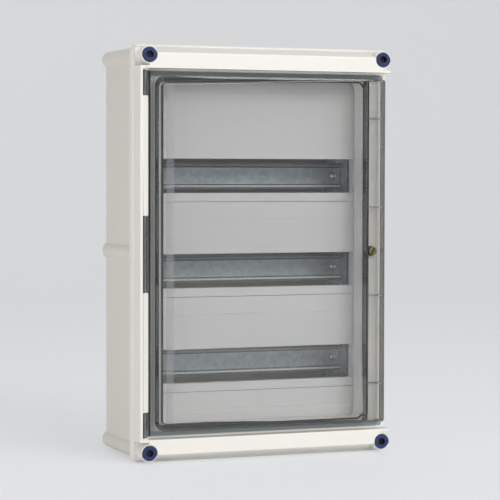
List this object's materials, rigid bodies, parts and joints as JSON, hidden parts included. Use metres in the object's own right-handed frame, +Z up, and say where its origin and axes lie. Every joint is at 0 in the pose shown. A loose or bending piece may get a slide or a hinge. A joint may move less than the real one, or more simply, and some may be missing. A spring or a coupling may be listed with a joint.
{
  "type": "din rail enclosure",
  "caption": "Insulated wall box with a hinged clear door, slotted cover plates and top-hat rails for modular devices behind them.",
  "frame": {"origin": "bottom centre of the whole closed box: middle of its width and depth, at the foot of the cover lip", "axes": "+Z up the box, +X to the right seen from the front, +Y from the door towards the wall"},
  "size_m": [0.36, 0.17, 0.54],
  "materials": {
    "housing_grey": "fine textured moulding",
    "cover_grey": "satin moulding",
    "plate_grey": "satin moulding",
    "clear_door": "clear, lightly smoked, polished",
    "blue_plastic": "satin moulding",
    "foam_seal": "closed-cell foam",
    "black_rubber": "smooth",
    "pin_steel": "bright",
    "brass": "turned",
    "zinc_screw": "bright zinc",
    "galvanised_steel": "galvanised, faint spangle"
  },
  "bodies": {
    "box": {"base_box": "housing_grey", "column_inserts": "brass", "cover_gasket": "foam_seal", "cover_frame": "cover_grey", "door_gasket": "black_rubber", "hinge_pin_top": "pin_steel", "hinge_pin_middle": "pin_steel", "hinge_pin_bottom": "pin_steel", "lock_keeper": "brass", "cover_plate_top": "plate_grey", "cover_plate_middle": "plate_grey", "cover_plate_bottom": "plate_grey", "cover_plate_foot": "plate_grey", "plate_screws": "zinc_screw", "din_rail_top": "galvanised_steel", "din_rail_middle": "galvanised_steel", "din_rail_bottom": "galvanised_steel", "rail_screws": "zinc_screw", "upright_left": "galvanised_steel", "upright_right": "galvanised_steel", "upright_screws": "zinc_screw"},
    "door_leaf": {"door": "clear_door"},
    "lock": {"lock_screw": "brass", "lock_clip": "pin_steel"},
    "screw_top_left": {"cover_screw_top_left": "blue_plastic"},
    "screw_top_right": {"cover_screw_top_right": "blue_plastic"},
    "screw_bottom_left": {"cover_screw_bottom_left": "blue_plastic"},
    "screw_bottom_right": {"cover_screw_bottom_right": "blue_plastic"}
  },
  "joints": [
    {"name": "door_hinge", "type": "hinge", "parent": "box", "child": "door_leaf", "pos_m": [-0.169, -0.077, 0.27], "axis": [0, 0, -1], "range_deg": [0, 110]},
    {"name": "lock_turn", "type": "hinge", "parent": "door_leaf", "child": "lock", "pos_m": [0.1549, -0.075, 0.27], "axis": [0, -1, 0], "range_deg": [0, 90]},
    {"name": "screw_turn_top_left", "type": "hinge", "parent": "box", "child": "screw_top_left", "pos_m": [-0.1645, -0.08, 0.5255], "axis": [0, -1, 0], "range_deg": [0, 90]},
    {"name": "screw_turn_top_right", "type": "hinge", "parent": "box", "child": "screw_top_right", "pos_m": [0.1645, -0.08, 0.5255], "axis": [0, -1, 0], "range_deg": [0, 90]},
    {"name": "screw_turn_bottom_left", "type": "hinge", "parent": "box", "child": "screw_bottom_left", "pos_m": [-0.1645, -0.08, 0.0145], "axis": [0, -1, 0], "range_deg": [0, 90]},
    {"name": "screw_turn_bottom_right", "type": "hinge", "parent": "box", "child": "screw_bottom_right", "pos_m": [0.1645, -0.08, 0.0145], "axis": [0, -1, 0], "range_deg": [0, 90]}
  ]
}
